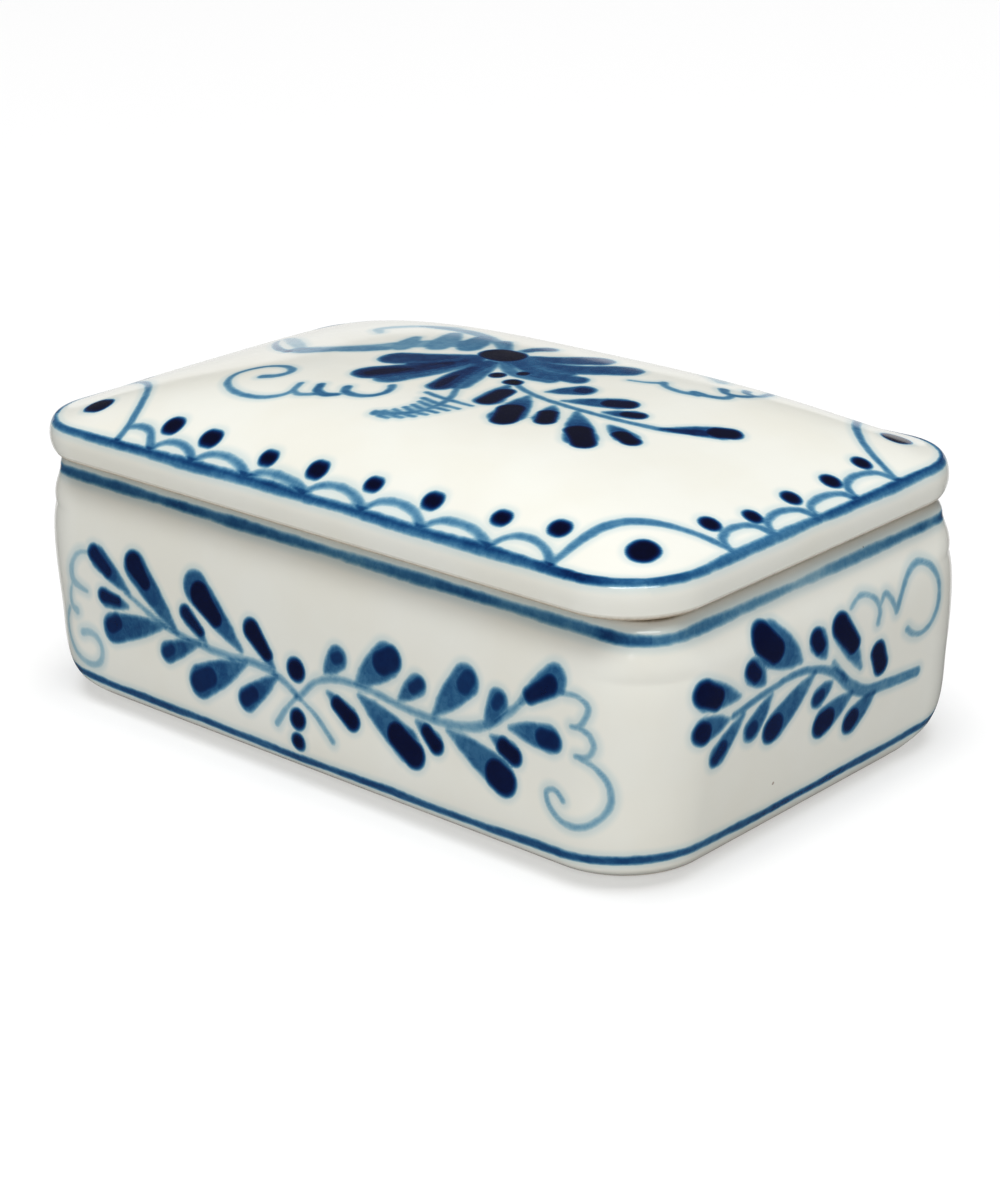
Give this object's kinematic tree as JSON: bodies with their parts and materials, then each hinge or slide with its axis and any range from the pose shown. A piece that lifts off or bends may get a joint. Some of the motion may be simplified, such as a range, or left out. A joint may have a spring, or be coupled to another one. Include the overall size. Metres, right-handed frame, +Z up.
{
  "type": "porcelain trinket box",
  "caption": "Small rectangular porcelain box with bulging walls and a loose pillow-domed lift-off lid, glazed white with hand-painted blue flowers and leaf sprays.",
  "frame": {"origin": "on the ground under the middle of the box", "axes": "+X along the long side, +Y along the short side, +Z up out of the lid"},
  "size_m": [0.1068, 0.0646, 0.0437],
  "materials": {
    "glazed_porcelain": "glossy clear glaze over warm white porcelain with cobalt blue painting"
  },
  "bodies": {
    "base": {"box_base": "glazed_porcelain"},
    "lid": {"lid": "glazed_porcelain"}
  },
  "joints": [
    {"name": "lid_lift", "type": "slide", "parent": "base", "child": "lid", "axis": [0, 0, 1], "range_m": [0, 0.06]}
  ]
}
